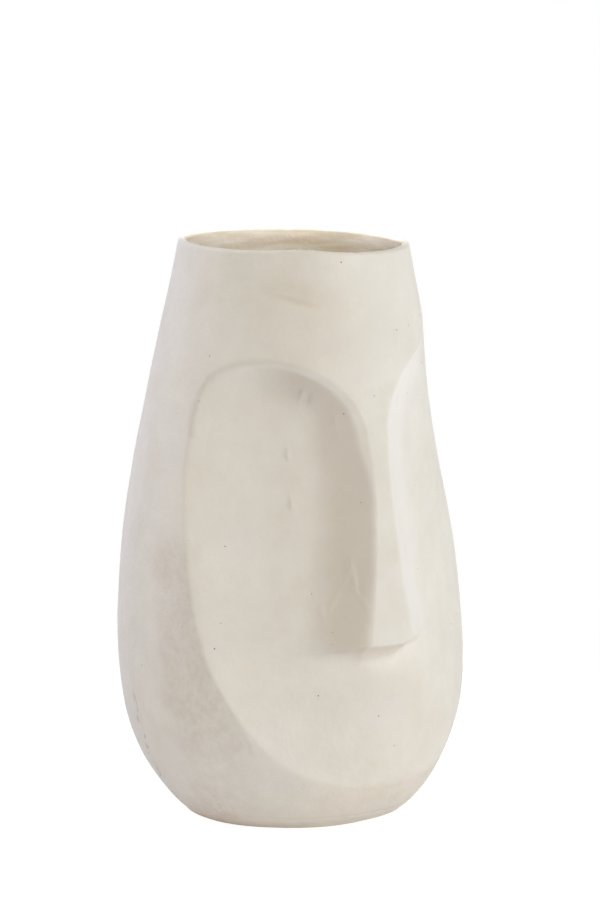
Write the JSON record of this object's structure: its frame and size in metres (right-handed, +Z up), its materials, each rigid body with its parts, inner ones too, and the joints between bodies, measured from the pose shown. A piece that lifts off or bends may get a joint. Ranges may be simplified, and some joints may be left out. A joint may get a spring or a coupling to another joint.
{
  "type": "decorative pot",
  "caption": "Hollow open-mouthed clay vase with a round belly and an abstract face pressed into its front, with arched brows, a wedge nose and a chin line, on a flat foot.",
  "frame": {"origin": "centre of the flat foot, on the surface that the vase stands on", "axes": "+Z up through the mouth, -Y the way the face looks, -X the side of the lower brow"},
  "size_m": [0.2176, 0.2176, 0.354],
  "materials": {
    "slip_clay": "matte cream slip over fired clay, hand-smoothed, unglazed",
    "bare_clay": "bare fired clay, matte, pressed and scraped by hand"
  },
  "bodies": {
    "root": {"front_shell": "slip_clay", "back_shell": "slip_clay", "nose": "slip_clay", "floor_slab": "bare_clay", "left_seam_coil": "bare_clay", "right_seam_coil": "bare_clay", "floor_seam_coil": "bare_clay"}
  },
  "joints": []
}
